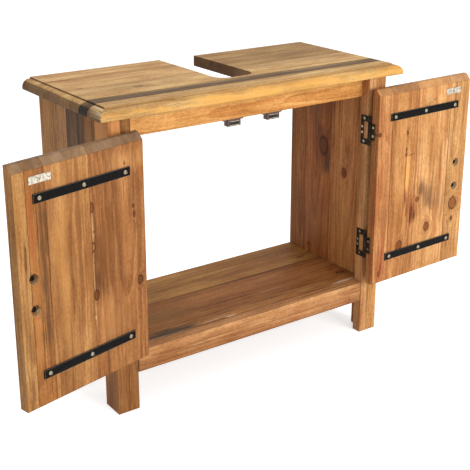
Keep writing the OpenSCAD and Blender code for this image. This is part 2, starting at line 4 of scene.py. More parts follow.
import bmesh
import bpy
from mathutils import Matrix, Vector
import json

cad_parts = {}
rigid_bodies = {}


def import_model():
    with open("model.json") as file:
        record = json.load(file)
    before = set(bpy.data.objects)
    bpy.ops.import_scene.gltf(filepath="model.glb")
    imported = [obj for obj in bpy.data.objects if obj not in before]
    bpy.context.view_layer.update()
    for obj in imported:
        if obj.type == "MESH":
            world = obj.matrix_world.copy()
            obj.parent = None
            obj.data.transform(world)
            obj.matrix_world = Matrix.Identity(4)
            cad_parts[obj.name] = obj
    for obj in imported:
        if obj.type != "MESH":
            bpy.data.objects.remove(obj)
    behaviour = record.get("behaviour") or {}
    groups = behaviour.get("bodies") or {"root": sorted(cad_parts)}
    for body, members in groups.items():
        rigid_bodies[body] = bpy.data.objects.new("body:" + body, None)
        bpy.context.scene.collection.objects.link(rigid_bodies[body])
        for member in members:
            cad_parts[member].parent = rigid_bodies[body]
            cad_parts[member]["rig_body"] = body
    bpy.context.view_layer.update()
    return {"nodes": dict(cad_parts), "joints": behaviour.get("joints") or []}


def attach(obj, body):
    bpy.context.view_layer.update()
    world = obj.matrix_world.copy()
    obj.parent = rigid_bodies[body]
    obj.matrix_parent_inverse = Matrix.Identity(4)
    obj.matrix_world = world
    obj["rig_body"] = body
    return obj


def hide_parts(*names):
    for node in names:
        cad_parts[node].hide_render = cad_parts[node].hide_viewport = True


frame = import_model()

# The photograph's view: from the front left, a little above the top, through a short telephoto lens.
# The vanishing points sit above the middle of the frame, so the lens is shifted down.
LOOK_AZIMUTH, LOOK_DOWN = math.radians(35.14), math.radians(18.37)
lens = bpy.data.cameras.new("camera")
lens.lens = 76.5
lens.sensor_width = 36
lens.shift_y = -0.10
camera = bpy.data.objects.new("camera", lens)
camera.location = (-1.1006, -1.6184, 1.0035)
camera.rotation_euler = (math.pi / 2 - LOOK_DOWN, 0, -LOOK_AZIMUTH)
bpy.context.scene.collection.objects.link(camera)
bpy.context.scene.camera = camera
bpy.context.scene.view_settings.view_transform = "Standard"

# The top: five reclaimed pine boards, planed, glued edge to edge and moulded on three sides.
# The front board is pale honey pine, the narrow one behind it weathered grey-brown, and the
# rear ones tan. A slot for the basin's trap is cut in from the back.

# Where each body stands with the doors shut, which is where every board lies square
shut = {"cabinet": Matrix.Identity(4)}
for joint in frame["joints"]:
    pin = Matrix.Translation(joint["pos_m"])
    turn = Matrix.Rotation(math.radians(joint["range_deg"][0]), 4, Vector(joint["axis"]))
    shut[joint["child"]] = pin @ turn @ pin.inverted()


WELD = 1e-5  # metres: corners nearer to each other than this are one corner
FLAT_TURN, ARRIS_TURN = 0.02, 0.7  # radians: a turn below the first is flat, above the second an arris


def worn_copy(node, arris, shortest=2.0):
    """A copy of a CAD piece, doors shut, with its sharp arrises rounded by so many millimetres."""
    cad = frame["nodes"][node]
    bm = bmesh.new()
    bm.from_mesh(cad.data)
    bmesh.ops.remove_doubles(bm, verts=bm.verts, dist=WELD)
    bmesh.ops.dissolve_limit(bm, angle_limit=FLAT_TURN, verts=bm.verts, edges=bm.edges)
    bmesh.ops.transform(bm, matrix=shut[cad["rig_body"]], verts=bm.verts)
    worn = bm.faces.layers.float.new("arris")
    sharp = [
        edge
        for edge in bm.edges
        if edge.is_manifold
        and edge.calc_face_angle() > ARRIS_TURN
        and edge.calc_length() > shortest / 1000
    ]
    rounded = bmesh.ops.bevel(
        bm, geom=sharp, offset=arris / 1000, offset_type="OFFSET", affect="EDGES",
        segments=2, profile=0.5, material=-1, clamp_overlap=True,
    )
    for face in rounded["faces"]:
        face[worn] = 1.0
    return bm


def finish(bm, material, node):
    """Makes the bmesh the shown piece of a CAD node, opened to rest with its door."""
    cad = frame["nodes"][node]
    bmesh.ops.transform(bm, matrix=shut[cad["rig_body"]].inverted(), verts=bm.verts)
    for face in bm.faces:
        face.smooth = True
    mesh = bpy.data.meshes.new(node + "_finished")
    bm.to_mesh(mesh)
    bm.free()
    mesh.set_sharp_from_angle(angle=math.radians(24))
    mesh.materials.append(material)
    piece = bpy.data.objects.new(node + "_finished", mesh)
    bpy.context.scene.collection.objects.link(piece)
    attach(piece, cad["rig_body"])
    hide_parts(node)
    return piece


def paint(code):
    """The linear colour of an sRGB hex value."""
    parts = [int(code[i : i + 2], 16) / 255 for i in (1, 3, 5)]
    return [p / 12.92 if p <= 0.04045 else ((p + 0.055) / 1.055) ** 2.4 for p in parts] + [1.0]


def add(tree, kind, sockets=None, ramp=(), **settings):
    """Adds a shader node with its settings; each socket gets a value, another node or its output."""
    node = tree.nodes.new("ShaderNode" + kind)
    for name, value in settings.items():
        setattr(node, name, value)
    for place, (at, code) in enumerate(ramp):
        if place < 2:
            node.color_ramp.elements[place].position = at
        else:
            node.color_ramp.elements.new(at)
        node.color_ramp.elements[place].color = paint(code) if isinstance(code, str) else code
    for name, value in (sockets or {}).items():
        if isinstance(name, int):
            socket = node.inputs[name]
        else:
            socket = next(s for s in node.inputs if s.name == name and s.enabled)
        if isinstance(value, bpy.types.Node):
            value = next(s for s in value.outputs if s.enabled)
        if isinstance(value, bpy.types.NodeSocket):
            tree.links.new(value, socket)
        else:
            socket.default_value = value
    return node


def pine(
    name, half, tone, ring=5.0, pith=(14, -60), slope=0.03, lean=0.0, bow=3.0,
    seed=1, stained=0.6, grey=0.12, knots=(), marks=(), end="#a98869", ended=0.8,
    dirty=0.2, clear=0.6, streaks=0.5, fibrous=0.32, flecked=0.4,
):
    """Reclaimed pine, planed, stained and waxed: year rings cut along the board, with harder dark
    late wood, fine fibres, knots that the rings flow round, stains and cracks, and on a few boards
    painted light and shade (marks), and dirt left in the joints. A knot or mark is given by its
    place, its two radii and its strength.
    Lengths are in millimetres along, across and through the board, from its middle: ring is a
    year's growth, pith the middle of the tree, which slope and lean tilt, and bow the rings' drift."""
    # A board has one tone: its early wood is lighter, its late wood darker, and stain deepens it,
    # and pale boards show less of a difference than dark ones
    middle = paint(tone)
    light, dark, stain = (
        [part * (level + easing * part) for part in middle[:3]] + [1.0]
        for level, easing in ((1.5, -0.5), (0.5, 0.3), (0.3, 0.33))
    )
    material = bpy.data.materials.new(name)
    material.use_nodes = True
    tree = material.node_tree
    wood = tree.nodes["Principled BSDF"]
    wood.inputs["Specular IOR Level"].default_value = 0.1
    grain = add(tree, "Attribute", attribute_name="grain").outputs["Vector"]
    offset = (seed * 31.7, seed * 17.3, seed * 9.1)

    # The trunk wanders: the whole ring pattern drifts sideways over some 15 cm
    place = add(tree, "Mapping", {"Vector": grain, "Location": offset, "Scale": (0.006, 0.02, 0.02)})
    drift = add(tree, "TexNoise", {"Vector": place, "Scale": 1.0, "Detail": 2.0})
    drift = add(tree, "VectorMath", {0: drift.outputs["Color"], 1: (0.5, 0.5, 0.5)}, operation="SUBTRACT")
    bent = add(tree, "VectorMath", {0: drift, 1: (0, 4 * bow, 4 * bow), 2: grain}, operation="MULTIPLY_ADD")

    # Year rings: distance from the pith, which leans through the board and draws arches on it
    turned = add(
        tree, "Mapping",
        {"Vector": bent, "Location": (0, -pith[0], -pith[1]), "Rotation": (0, slope, lean)},
    )
    flat = add(tree, "VectorMath", {0: turned, 1: (0, 1, 1)}, operation="MULTIPLY")
    radius = add(tree, "VectorMath", {0: flat}, operation="LENGTH")

    # Knots: the rings swell round each one, in its own radii, and its heart is darker
    nearest, core = 9.0, 0.0
    for along, across, long_r, wide_r, depth in knots:
        spot = add(
            tree, "Mapping",
            {
                "Vector": bent, "Location": (-along / long_r, -across / wide_r, 0),
                "Scale": (1 / long_r, 1 / wide_r, 0),
            },
        )
        reach = add(tree, "VectorMath", {0: spot}, operation="LENGTH")
        nearest = add(tree, "Math", {0: nearest, 1: reach}, operation="MINIMUM")
        swell = add(
            tree, "MapRange", {"Value": reach, "From Max": 3.0, "To Min": 1.7 * wide_r, "To Max": 0.0},
            interpolation_type="SMOOTHERSTEP",
        )
        radius = add(tree, "Math", {0: radius, 1: swell})
        heart = add(
            tree, "MapRange",
            {"Value": reach, "From Min": 0.5, "From Max": 1.05, "To Min": depth, "To Max": 0.0},
        )
        core = add(tree, "Math", {0: core, 1: heart}, operation="MAXIMUM")

    # Rings are uneven in width, from year to year
    phase = add(tree, "Math", {0: radius, 1: ring}, operation="DIVIDE")
    uneven = add(tree, "TexNoise", {"W": phase, "Scale": 0.4, "Detail": 1.0}, noise_dimensions="1D")
    phase = add(tree, "Math", {0: uneven, 1: 1.6, 2: phase}, operation="MULTIPLY_ADD")
    year = add(tree, "Math", {0: phase}, operation="FRACT")
    rings = add(
        tree, "ValToRGB", {"Fac": year},
        ramp=[(0.0, light), (0.5, middle), (0.84, dark), (0.94, dark), (1.0, light)],
    )

    colour = add(tree, "Mix", {"Factor": clear, "A": middle, "B": rings}, data_type="RGBA")

    # Broad bands along the board: pale sapwood, and redder or browner heartwood
    place = add(tree, "Mapping", {"Vector": bent, "Location": offset, "Scale": (0.002, 0.05, 0.05)})
    bands = add(tree, "TexNoise", {"Vector": place, "Scale": 1.0, "Detail": 4.0, "Roughness": 0.6})
    amount = add(tree, "MapRange", {"Value": bands, "From Min": 0.5, "From Max": 0.36, "To Max": 0.85})
    colour = add(tree, "Mix", {"Factor": amount, "A": colour, "B": light}, data_type="RGBA")
    amount = add(tree, "MapRange", {"Value": bands, "From Min": 0.48, "From Max": 0.66, "To Max": stained})
    colour = add(tree, "Mix", {"Factor": amount, "A": colour, "B": stain}, data_type="RGBA")

    # Thin dark resin streaks
    place = add(tree, "Mapping", {"Vector": bent, "Location": offset, "Scale": (0.0025, 0.2, 0.2)})
    resin = add(tree, "TexNoise", {"Vector": place, "Scale": 1.0, "Detail": 3.0, "Roughness": 0.5})
    amount = add(tree, "MapRange", {"Value": resin, "From Min": 0.58, "From Max": 0.74, "To Max": streaks})
    colour = add(tree, "Mix", {"Factor": amount, "A": colour, "B": paint("#4a2f16")}, data_type="RGBA")

    # Fibres: real ones are a few hundredths of a millimetre, drawn as bundles of about 3 mm to show
    place = add(tree, "Mapping", {"Vector": bent, "Location": offset, "Scale": (0.007, 0.34, 0.34)})
    strands = add(tree, "TexNoise", {"Vector": place, "Scale": 1.0, "Detail": 4.0, "Roughness": 0.7})
    shade = add(
        tree, "ValToRGB", {"Fac": strands},
        ramp=[(0.28, "#765a3a"), (0.4, "#cdb794"), (0.5, "#f6f0e2"), (0.6, "#ffffff")],
    )
    colour = add(
        tree, "Mix", {"Factor": fibrous, "A": colour, "B": shade}, data_type="RGBA", blend_type="MULTIPLY",
    )

    # Resin canals and torn fibres: dark flecks of 15 to 25 mm, drawn 2 mm wide
    place = add(tree, "Mapping", {"Vector": bent, "Location": offset, "Scale": (0.045, 0.5, 0.5)})
    flecks = add(tree, "TexNoise", {"Vector": place, "Scale": 1.0, "Detail": 2.0, "Roughness": 0.5})
    amount = add(tree, "MapRange", {"Value": flecks, "From Min": 0.6, "From Max": 0.72, "To Max": flecked})
    colour = add(tree, "Mix", {"Factor": amount, "A": colour, "B": paint("#5a3a22")}, data_type="RGBA")

    # The planer's and the brush's marks: a fine uneven mottle of 2 to 4 mm
    place = add(tree, "Mapping", {"Vector": grain, "Location": offset, "Scale": (0.16, 0.3, 0.3)})
    mottle = add(tree, "TexNoise", {"Vector": place, "Scale": 1.0, "Detail": 2.0, "Roughness": 0.6})
    shade = add(tree, "ValToRGB", {"Fac": mottle}, ramp=[(0.34, "#cfbda0"), (0.6, "#ffffff")])
    colour = add(
        tree, "Mix", {"Factor": 0.5, "A": colour, "B": shade}, data_type="RGBA", blend_type="MULTIPLY",
    )

    # Weathered and hand-worn patches, greyer than the rest
    place = add(tree, "Mapping", {"Vector": bent, "Location": offset, "Scale": (0.012, 0.035, 0.035)})
    patches = add(tree, "TexNoise", {"Vector": place, "Scale": 1.0, "Detail": 5.0, "Roughness": 0.6})
    amount = add(tree, "MapRange", {"Value": patches, "From Min": 0.45, "From Max": 0.72, "To Max": grey})
    colour = add(tree, "Mix", {"Factor": amount, "A": colour, "B": paint("#776146")}, data_type="RGBA")

    # The stain soaked in unevenly, in clouds of some 5 cm
    place = add(tree, "Mapping", {"Vector": bent, "Location": offset, "Scale": (0.009, 0.022, 0.022)})
    clouds = add(tree, "TexNoise", {"Vector": place, "Scale": 1.0, "Detail": 6.0, "Roughness": 0.6})
    shade = add(tree, "ValToRGB", {"Fac": clouds}, ramp=[(0.34, "#ffffff"), (0.66, "#bd9f78")])
    colour = add(
        tree, "Mix", {"Factor": 0.6, "A": colour, "B": shade}, data_type="RGBA", blend_type="MULTIPLY",
    )

    # Old stains, torn grain and cracks, and on a few boards painted light and shade, with edges broken up by
    # the fibres
    torn = add(tree, "Math", {0: strands, 1: patches}, operation="ADD")
    torn = add(tree, "Math", {0: torn, 1: 1.0}, operation="SUBTRACT")
    for along, across, long_r, wide_r, strength, tint in marks:
        spot = add(
            tree, "Mapping",
            {
                "Vector": bent, "Location": (-along / long_r, -across / wide_r, 0),
                "Scale": (1 / long_r, 1 / wide_r, 0),
            },
        )
        reach = add(tree, "VectorMath", {0: spot}, operation="LENGTH")
        reach = add(tree, "Math", {0: torn, 1: 2.2, 2: reach.outputs["Value"]}, operation="MULTIPLY_ADD")
        amount = add(
            tree, "MapRange",
            {"Value": reach, "From Min": 0.25, "From Max": 1.15, "To Min": strength, "To Max": 0.0},
            interpolation_type="SMOOTHSTEP",
        )
        colour = add(tree, "Mix", {"Factor": amount, "A": colour, "B": paint(tint)}, data_type="RGBA")

    # A knot is stained round about, dark at heart, and set in a broken ring of bark
    if knots:
        halo = add(
            tree, "MapRange",
            {"Value": nearest, "From Min": 0.9, "From Max": 2.4, "To Min": 0.6, "To Max": 0.0},
        )
        colour = add(tree, "Mix", {"Factor": halo, "A": colour, "B": stain}, data_type="RGBA")
        colour = add(tree, "Mix", {"Factor": core, "A": colour, "B": paint("#6a4426")}, data_type="RGBA")
        broken = add(tree, "Math", {0: torn, 1: 0.9, 2: nearest}, operation="MULTIPLY_ADD")
        scaled = add(tree, "Math", {0: broken, 1: 0.5}, operation="MULTIPLY")
        bark = add(
            tree, "ValToRGB", {"Fac": scaled},
            ramp=[(0.0, "#e0c19c"), (0.3, "#ecd6b8"), (0.44, "#664630"), (0.6, "#ffffff")],
        )
        colour = add(
            tree, "Mix", {"Factor": 0.9, "A": colour, "B": bark}, data_type="RGBA", blend_type="MULTIPLY",
        )

    # Distance to the nearest arris: the middle one of the three distances to the faces
    apart = add(tree, "VectorMath", {0: grain}, operation="ABSOLUTE")
    apart = add(tree, "VectorMath", {0: half, 1: apart}, operation="SUBTRACT")
    apart = add(tree, "SeparateXYZ", {"Vector": apart})
    lower = add(tree, "Math", {0: apart.outputs[0], 1: apart.outputs[1]}, operation="MINIMUM")
    upper = add(tree, "Math", {0: apart.outputs[0], 1: apart.outputs[1]}, operation="MAXIMUM")
    upper = add(tree, "Math", {0: upper, 1: apart.outputs[2]}, operation="MINIMUM")
    apart = add(tree, "Math", {0: lower, 1: upper}, operation="MAXIMUM")
    ragged = add(tree, "Math", {0: patches, 1: -5.0, 2: apart}, operation="MULTIPLY_ADD")
    dirt = add(
        tree, "MapRange",
        {"Value": ragged, "From Min": -2.4, "From Max": 0.6, "To Min": dirty, "To Max": 0.0},
    )
    colour = add(tree, "Mix", {"Factor": dirt, "A": colour, "B": paint("#4a3222")}, data_type="RGBA")

    # Sawn ends are greyer, and show the rings cut across; rounded arrises hold dirt
    sawn = add(tree, "Attribute", attribute_name="end").outputs["Fac"]
    sawn = add(tree, "Math", {0: sawn, 1: ended}, operation="MULTIPLY")
    shade = add(tree, "ValToRGB", {"Fac": patches}, ramp=[(0.35, "#ffffff"), (0.65, "#a58a70")])
    cut = add(
        tree, "Mix", {"Factor": 0.7, "A": paint(end), "B": shade}, data_type="RGBA", blend_type="MULTIPLY",
    )
    colour = add(tree, "Mix", {"Factor": sawn, "A": colour, "B": cut}, data_type="RGBA")
    worn = add(tree, "Attribute", attribute_name="arris").outputs["Fac"]
    worn = add(tree, "Math", {0: worn, 1: 0.4}, operation="MULTIPLY")
    colour = add(
        tree, "Mix", {"Factor": worn, "A": colour, "B": paint("#a98a6c")}, data_type="RGBA",
        blend_type="MULTIPLY",
    )

    # The walls of bores are painted paler: partly raw wood, cut last and never stained, and partly painted
    # light that lifts the shade inside the bores
    raw_and_painted_light = add(tree, "Attribute", attribute_name="bore").outputs["Fac"]
    colour = add(tree, "Mix", {"Factor": raw_and_painted_light, "A": colour, "B": paint("#c3ac86")}, data_type="RGBA")
    tree.links.new(colour.outputs[2], wood.inputs["Base Color"])

    # Late wood stands a little proud of the worn early wood
    height = add(tree, "Math", {0: year, 1: 0.5, 2: strands}, operation="MULTIPLY_ADD")
    bump = add(tree, "Bump", {"Strength": 0.4, "Distance": 0.0003, "Height": height})
    tree.links.new(bump.outputs[0], wood.inputs["Normal"])
    gloss = add(
        tree, "MapRange",
        {"Value": strands, "From Min": 0.3, "From Max": 0.7, "To Min": 0.62, "To Max": 0.48},
    )
    tree.links.new(gloss.outputs[0], wood.inputs["Roughness"])
    return material


# What tells a board's faces apart: a sawn end faces along the board, and a face is square if it
# looks along one axis. A bore's faces are small, and slant as facets or have many corners.
END_FACING, SQUARE_FACING = 0.6, 0.999
BORE_CORNERS, BORE_AREA = 12, 4e-5  # the area in square metres


def plank(node, along, name, tone, arris=0.7, through=None, **more):
    """Finishes a board of the CAD: worn arrises, and its grain measured along axis 0, 1 or 2.
    The board is thinnest through its face, unless through names another axis."""
    bm = worn_copy(node, arris)
    low = Vector([min(v.co[i] for v in bm.verts) for i in range(3)])
    high = Vector([max(v.co[i] for v in bm.verts) for i in range(3)])
    size = (high - low) * 1000
    others = sorted((i for i in range(3) if i != along), key=lambda i: -size[i])
    if through is not None:
        others = [i for i in range(3) if i not in (along, through)] + [through]
    order = [along] + others
    grain = bm.verts.layers.float_vector.new("grain")
    for vert in bm.verts:
        offset = (vert.co - (low + high) / 2) * 1000
        vert[grain] = [offset[i] for i in order]
    sawn = bm.faces.layers.float.new("end")
    bored = bm.faces.layers.float.new("bore")
    worn = bm.faces.layers.float["arris"]
    for face in bm.faces:
        face.normal_update()
        face[sawn] = 1.0 if abs(face.normal[along]) > END_FACING else 0.0
        slanted = max(abs(n) for n in face.normal) < SQUARE_FACING
        curved = slanted or len(face.verts) > BORE_CORNERS
        small = face.calc_area() < BORE_AREA
        face[bored] = 1.0 if curved and small and face[worn] == 0.0 else 0.0
    half = [size[i] / 2 for i in order]
    return finish(bm, pine(name, half, tone, **more), node)


# The top was planed smooth and waxed, so fewer rings and fibres show on it
planed = {"clear": 0.35, "fibrous": 0.2, "flecked": 0.25, "streaks": 0.3}
plank(
    "top_front_board", 0, "honey pine, top front board", "#d0aa72",
    ring=4.5, pith=(34, -48), slope=0.02, seed=1, stained=0.6, grey=0.08,
    end="#6b4a2c",
    **planed,
    marks=[
        # The first mark paints the moulded front edge a brighter gold, a painted highlight on the moulding
        (0, -25, 420, 12, 0.6, "#e8ab52"), (0, 0, 380, 1.4, 0.35, "#7f6238"),
        (140, 8, 130, 5, 0.3, "#ecc887"), (-170, 4, 90, 4, 0.4, "#b98d50"),
    ],
)
plank(
    "top_dark_strip", 0, "weathered pine, narrow dark strip", "#786040",
    ring=3.0, pith=(-20, -30), slope=0.01, seed=2, stained=0.7, grey=0.3, through=2,
    end="#2b2420", ended=0.92,
    marks=[
        (70, -4, 60, 6, 0.8, "#4f3820"), (-290, 0, 60, 14, 0.6, "#4a3728"), (-120, 8, 120, 6, 0.5, "#a58a5e"),
        (160, 9, 150, 5, 0.5, "#a58a5e"), (-200, -9, 120, 4, 0.5, "#5a4630"),
    ],
)
plank(
    "top_middle_board", 0, "tan pine, top middle board", "#d8b074",
    ring=6.0, pith=(10, -45), slope=0.03, seed=3, stained=0.4, grey=0.25,
    knots=[(-203, 1, 9, 5, 0.1)],
    end="#7a5c3e",
    **planed,
    marks=[
        (-222, 10, 22, 1.8, 0.8, "#7a5230"), (-200, -7, 26, 1.6, 0.8, "#7a5230"),
        (-262, -28, 16, 2.4, 0.4, "#8a6238"), (-186, 4, 14, 1.6, 0.8, "#6f4828"),
        (-240, -3, 20, 1.4, 0.6, "#7a5230"), (-200, 0, 46, 18, 0.3, "#a37c48"),
        (200, 20, 120, 14, 0.3, "#a07c50"), (60, -26, 90, 6, 0.3, "#c79f5c"),
    ],
)
plank(
    "top_rear_left_board", 0, "tan pine, rear left of the top", "#d8ae76",
    ring=6.5, pith=(-30, -40), slope=0.03, seed=4, stained=0.35, grey=0.2,
    end="#74573c",
    **planed,
    marks=[
        (-105, 10, 34, 5, 0.85, "#7d4a26"), (-130, 12, 60, 9, 0.5, "#94683a"),
        (-106, -74, 9, 5, 0.75, "#7a4c2a"), (20, -40, 80, 10, 0.3, "#a67f4c"),
        (-60, -30, 60, 20, 0.2, "#b0834c"),
    ],
)
plank(
    "top_rear_right_board", 0, "tan pine, rear right of the top", "#ae8a56",
    ring=6.0, pith=(20, -50), slope=0.03, seed=5, stained=0.4, grey=0.2,
    end="#5d3f29",
    **planed,
    marks=[
        (40, 4, 40, 10, 0.4, "#8a6c48"), (90, -20, 30, 12, 0.35, "#9a6c48"),
        (-60, -40, 60, 16, 0.3, "#b0935c"),
    ],
)

# The legs: two front posts and two rear ones, sawn and planed pine, standing on the floor.
# Each front post has a batten glued to its inner side, which carries the door's hinges.
plank(
    "front_left_post", 2, "brown pine, front left post", "#c68852",
    ring=5.5, pith=(10, -30), seed=6, stained=0.5, grey=0.15, through=0,
    dirty=0.12,
    # The first mark darkens the post towards its foot; the second paints its top lighter, a painted light
    # against the shade under the top's overhang
    marks=[(-289, 0, 170, 100, 0.6, "#6f4524"), (289, 0, 150, 100, 0.6, "#eaa565")],
)
plank(
    "front_right_post", 2, "orange pine, front right post", "#d49c62",
    ring=5.0, pith=(-18, -30), seed=7, stained=0.35, through=0,
    dirty=0.1,
)
plank(
    "rear_left_post", 2, "brown pine, rear left post", "#c4905a",
    ring=5.5, pith=(16, -30), seed=8, stained=0.4, through=0,
)
plank(
    "rear_right_post", 2, "brown pine, rear right post", "#b47a4a",
    ring=5.5, pith=(-12, -30), seed=9, stained=0.4, through=0,
)
plank(
    "front_left_batten", 2, "brown pine, left batten", "#a87646",
    ring=4.5, pith=(10, -26), seed=10, stained=0.4, through=1,
    dirty=0.12,
)
plank(
    "front_right_batten", 2, "orange pine, right batten", "#e0a672",
    ring=4.5, pith=(-10, -26), seed=11, stained=0.4, through=1,
    dirty=0.1,
)

# The side walls: upright pine boards glued edge to edge between the posts, with their lower ends
# sawn off above the floor. Each is from another old board, so their tones differ.
plank(
    "left_side_front_board", 2, "tan pine, left side front board", "#ae7e4c",
    ring=5.0, pith=(8, -40), seed=12, stained=0.45, grey=0.1,
)
plank(
    "left_side_middle_board", 2, "dark pine, left side middle board", "#72563e",
    ring=4.5, pith=(-12, -42), seed=13, stained=0.5, grey=0.1,
)
plank(
    "left_side_rear_board", 2, "brown pine, left side rear board", "#c08e5e",
    ring=6.0, pith=(20, -40), seed=14, stained=0.4, grey=0.15,
)
plank(
    "right_side_front_board", 2, "orange pine, right side front board", "#da9860",
    ring=7.0, pith=(-10, -38), slope=0.05, seed=15, stained=0.45, grey=0.05,
    knots=[(17, -3, 11, 7, 0.6)],
    marks=[
        (150, 12, 70, 1.8, 0.8, "#4f3220"), (60, -14, 40, 14, 0.4, "#8a4c28"),
        (17, -3, 5, 3.4, 0.9, "#241510"), (-120, 0, 110, 44, 0.35, "#a87438"),
        (160, 38, 90, 5, 0.7, "#4a3220"),
    ],
)
plank(
    "right_side_rear_board", 2, "brown pine, right side rear board", "#c07842",
    ring=8.0, pith=(6, -36), slope=0.06, seed=16, stained=0.45, grey=0.05,
    knots=[(63, -18, 22, 14, 0.3), (-186, 24, 4, 5, 0.1)],
    marks=[
        (62, -16, 62, 36, 0.6, "#523827"), (96, -6, 28, 16, 0.55, "#443024"),
        (36, -34, 36, 10, 0.65, "#443024"), (70, -30, 44, 2.4, 0.8, "#38261a"),
        # The broad dark mark high on the board, at 150 mm along, is painted shade under the apron and the top
        (40, 2, 36, 2.4, 0.7, "#443024"), (150, 0, 60, 50, 0.4, "#523d2a"),
        (-120, 0, 110, 40, 0.35, "#8a6234"), (84, -20, 5, 12, 0.7, "#3f2a1d"),
    ],
)

# The apron: a planed rail of straight-grained pine under the top's front edge, glued between the
# posts. The catches are screwed up under it.
plank(
    "apron", 0, "orange pine, apron", "#eeb068",
    ring=7.0, pith=(-6, -34), slope=0.025, seed=17, stained=0.4, grey=0.06, through=1,
    dirty=0.12,
)

# The shelf: a front rail and three boards of weathered pine, laid on cleats.
# The board just behind the rail is greyed and rubbed, and the open joint beside it holds dirt.
rubbed = {"clear": 0.45, "fibrous": 0.25, "flecked": 0.3}
plank(
    "shelf_front_rail", 0, "orange pine, shelf rail", "#c99060",
    ring=5.0, pith=(10, -40), slope=0.02, seed=18, stained=0.4, grey=0.2, through=1,
    dirty=0.3,
)
plank(
    "shelf_front_board", 0, "greyed pine, shelf front board", "#b07948",
    ring=4.0, pith=(-16, -30), seed=19, stained=0.5, grey=0.3,
    dirty=0.45, **rubbed,
    marks=[
        (-205, -4, 78, 14, 0.9, "#43362a"), (-230, -15, 80, 3, 0.6, "#b3a088"),
        (-93, -9, 34, 3, 0.6, "#cfb48e"), (255, -12, 45, 5, 0.6, "#dcc8a8"),
        (-50, -14, 12, 2, 0.8, "#e0cba6"), (-60, 4, 40, 1.4, 0.7, "#503522"),
        (60, 8, 60, 1.4, 0.6, "#553822"), (200, -4, 70, 3, 0.5, "#5c3d25"),
    ],
)
plank(
    "shelf_middle_board", 0, "tan pine, shelf middle board", "#ab7343",
    ring=7.0, pith=(12, -38), slope=0.03, seed=20, stained=0.5, grey=0.12,
    knots=[(280, -44, 11, 5, 0.25)],
    dirty=0.4, **rubbed, streaks=0.3,
    marks=[
        (-200, -8, 130, 40, 0.45, "#92703e"), (150, 0, 150, 40, 0.4, "#8f5530"),
        (60, 52, 220, 3, 0.65, "#56381f"), (-60, -32, 34, 1.6, 0.8, "#4a2f1b"),
        (-20, -24, 26, 1.4, 0.8, "#4a2f1b"), (-96, -14, 30, 1.2, 0.6, "#553620"),
        (30, -38, 22, 1.6, 0.7, "#4a2f1b"), (268, -22, 10, 3, 0.6, "#5a3520"),
    ],
)
plank(
    "shelf_rear_board", 0, "brown pine, shelf rear board", "#b2824a",
    ring=7.0, pith=(-24, -36), slope=0.03, seed=21, stained=0.45, grey=0.1,
    knots=[(262, -30, 10, 3, 0.3)],
    dirty=0.35, **rubbed, streaks=0.25,
    marks=[
        (-190, 0, 130, 50, 0.4, "#9a7742"), (180, -10, 120, 40, 0.35, "#935a32"),
        (236, 8, 34, 3, 0.6, "#5f3c22"), (200, 20, 60, 3, 0.5, "#6b4526"),
    ],
)

# The cleats: square strips of sawn pine along the side walls. Two are screwed up to the top, and
# the other two, screwed to the walls, carry the shelf.
for number, node in enumerate(["top_left_cleat", "top_right_cleat", "shelf_left_cleat", "shelf_right_cleat"]):
    plank(
        node, 1, "sawn pine, " + node.replace("_", " "), "#a6784c",
        arris=0.5, ring=4.5, pith=(6 - 4 * number, -20), seed=22 + number,
    )

# The doors: four upright boards each, glued edge to edge, with the inner top edge planed to a
# chamfer. Both are shown open, so their inner faces are seen. The left one is browner and was
# cut from knotty sapwood at its third joint; the right one is pale orange with several knots.
plank(
    "left_door_free_board", 2, "honey pine, left door free board", "#be8c56",
    ring=5.0, pith=(-14, -38), slope=0.02, seed=30, stained=0.4,
    knots=[(58, -2, 22, 2.2, 0.4)],
    dirty=0.12, end="#857059",
    marks=[
        (-183, 3, 13, 1, 0.35, "#e0c296"), (130, 4, 60, 5, 0.35, "#a5672f"),
        (-170, -2, 34, 5, 0.6, "#6b4325"), (-60, 6, 110, 1.2, 0.5, "#8a5a30"),
        (95, -7, 60, 1, 0.5, "#7e4f28"),
    ],
)
plank(
    "left_door_second_board", 2, "red-brown pine, left door second board", "#b07642",
    ring=5.5, pith=(18, -36), slope=0.02, seed=31, stained=0.6,
    dirty=0.12, end="#857059",
    marks=[
        (111, 13, 75, 7, 0.5, "#a2552a"), (-60, 13, 130, 4, 0.3, "#b87a40"),
        (50, -8, 140, 9, 0.75, "#5a4029"), (-90, -11, 80, 5, 0.6, "#5c3e26"),
        (-60, 2, 90, 1.4, 0.5, "#54351f"), (60, 2, 110, 1.4, 0.6, "#4f3420"),
        (-130, -3, 60, 1.6, 0.4, "#5f4026"), (190, -4, 26, 16, 0.4, "#7a5232"),
    ],
)
plank(
    "left_door_third_board", 2, "orange pine, left door third board", "#bc8652",
    ring=9.0, pith=(22, -50), slope=0.02, seed=32, stained=0.4,
    dirty=0.12, end="#857059",
    marks=[
        (40, -19, 190, 5, 0.65, "#83522a"), (-30, -38, 170, 5, 0.6, "#8a572b"),
        (20, -30, 150, 2, 0.6, "#744826"), (-100, -10, 90, 2, 0.6, "#7d4d29"),
        (30, 17, 160, 18, 0.3, "#cd9552"), (-110, 8, 60, 1.6, 0.6, "#83522a"),
        (10, 43.5, 170, 1.4, 0.6, "#54351f"), (150, -26, 50, 12, 0.35, "#8f5c30"),
        (60, -6, 120, 1.4, 0.5, "#8a5a2e"),
    ],
)
